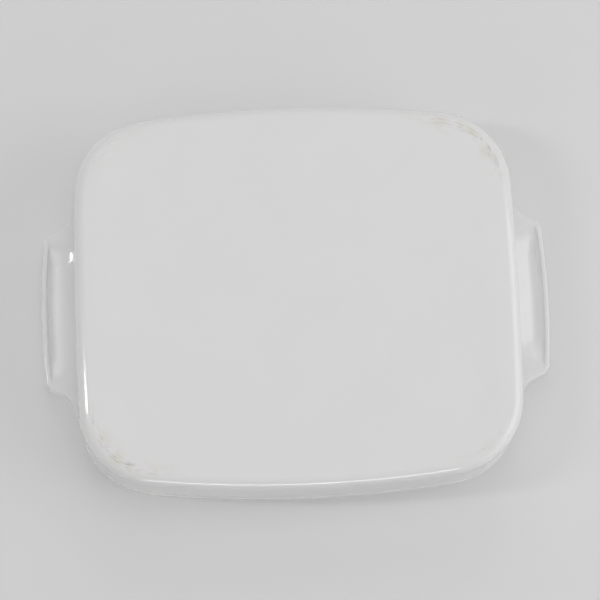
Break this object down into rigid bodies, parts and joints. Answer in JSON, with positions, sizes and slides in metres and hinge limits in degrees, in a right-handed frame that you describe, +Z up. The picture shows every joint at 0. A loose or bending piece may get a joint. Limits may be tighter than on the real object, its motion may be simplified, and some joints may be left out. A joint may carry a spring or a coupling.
{
  "type": "lasagna dish",
  "caption": "Shallow rectangular baking dish of white glass-ceramic with bowed sides, rounded corners and a flat tab handle with a turned-down lip at each end.",
  "frame": {"origin": "middle of the base, on the surface that the dish stands on", "axes": "+Z up, out of the open top; X from handle to handle, the longest extent; Y across the dish"},
  "size_m": [0.3462, 0.2624, 0.057],
  "materials": {
    "glass_ceramic": "smooth, glossy, opaque white, with light scuffs where it stands"
  },
  "bodies": {
    "root": {"base": "glass_ceramic", "front_wall": "glass_ceramic", "back_wall": "glass_ceramic", "left_wall": "glass_ceramic", "right_wall": "glass_ceramic", "rim": "glass_ceramic", "left_handle": "glass_ceramic", "right_handle": "glass_ceramic"}
  },
  "joints": []
}
